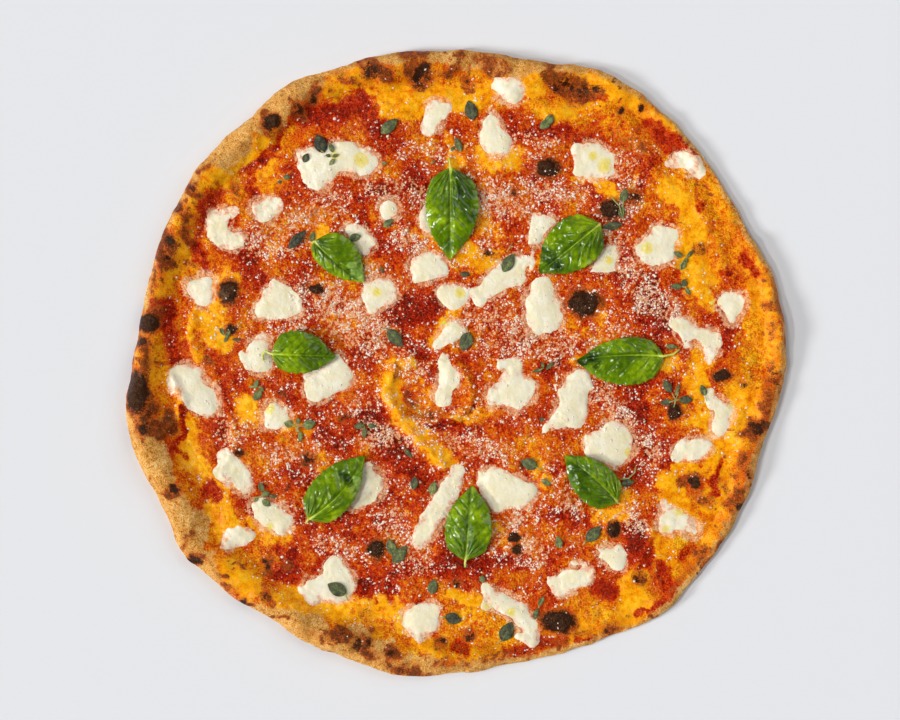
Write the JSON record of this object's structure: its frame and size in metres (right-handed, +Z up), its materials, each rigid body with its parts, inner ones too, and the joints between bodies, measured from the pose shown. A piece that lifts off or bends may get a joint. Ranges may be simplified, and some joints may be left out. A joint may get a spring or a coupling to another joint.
{
  "type": "margherita pizza",
  "caption": "Thin stone-baked margherita pizza with a puffed, charred rim, tomato, melted mozzarella pieces, grated hard cheese and fresh basil leaves.",
  "frame": {"origin": "under the middle of the pizza, on the surface that it rests on", "axes": "+Z up out of the toppings, +X across the pizza's widest way, +Y away from the viewer"},
  "size_m": [0.3308, 0.3132, 0.0141],
  "materials": {
    "baked_crust": "flour-dusted baked wheat dough, tan with brown and black char, tomato and oil soaked over the middle",
    "tomato_sauce": "thin baked tomato sauce, moist and glossy with orange oil",
    "mozzarella": "melted fresh mozzarella, creamy white, soft gloss",
    "grated_cheese": "finely grated hard cheese, pale crumbs",
    "basil": "fresh basil leaf, waxy gloss, paler underneath",
    "dried_herb": "small oven-dried oregano leaves, matt grey-green",
    "olive_oil": "olive oil drops, clear yellow, glossy"
  },
  "bodies": {
    "root": {"crust": "baked_crust", "mozzarella_01": "mozzarella", "mozzarella_02": "mozzarella", "mozzarella_03": "mozzarella", "mozzarella_04": "mozzarella", "mozzarella_05": "mozzarella", "mozzarella_06": "mozzarella", "mozzarella_07": "mozzarella", "mozzarella_08": "mozzarella", "mozzarella_09": "mozzarella", "mozzarella_10": "mozzarella", "mozzarella_11": "mozzarella", "mozzarella_12": "mozzarella", "mozzarella_13": "mozzarella", "mozzarella_14": "mozzarella", "mozzarella_15": "mozzarella", "mozzarella_16": "mozzarella", "mozzarella_17": "mozzarella", "mozzarella_18": "mozzarella", "mozzarella_19": "mozzarella", "mozzarella_20": "mozzarella", "mozzarella_21": "mozzarella", "mozzarella_22": "mozzarella", "mozzarella_23": "mozzarella", "mozzarella_24": "mozzarella", "mozzarella_25": "mozzarella", "mozzarella_26": "mozzarella", "mozzarella_27": "mozzarella", "mozzarella_28": "mozzarella", "mozzarella_29": "mozzarella", "mozzarella_30": "mozzarella", "mozzarella_31": "mozzarella", "mozzarella_32": "mozzarella", "mozzarella_33": "mozzarella", "mozzarella_34": "mozzarella", "mozzarella_35": "mozzarella", "mozzarella_36": "mozzarella", "mozzarella_37": "mozzarella", "mozzarella_38": "mozzarella", "mozzarella_39": "mozzarella", "mozzarella_40": "mozzarella", "mozzarella_41": "mozzarella", "mozzarella_42": "mozzarella", "mozzarella_43": "mozzarella", "mozzarella_44": "mozzarella", "mozzarella_45": "mozzarella", "mozzarella_46": "mozzarella", "basil_leaf_1": "basil", "basil_leaf_2": "basil", "basil_leaf_3": "basil", "basil_leaf_4": "basil", "basil_leaf_5": "basil", "basil_leaf_6": "basil", "basil_leaf_7": "basil", "basil_leaf_8": "basil"}
  },
  "joints": []
}
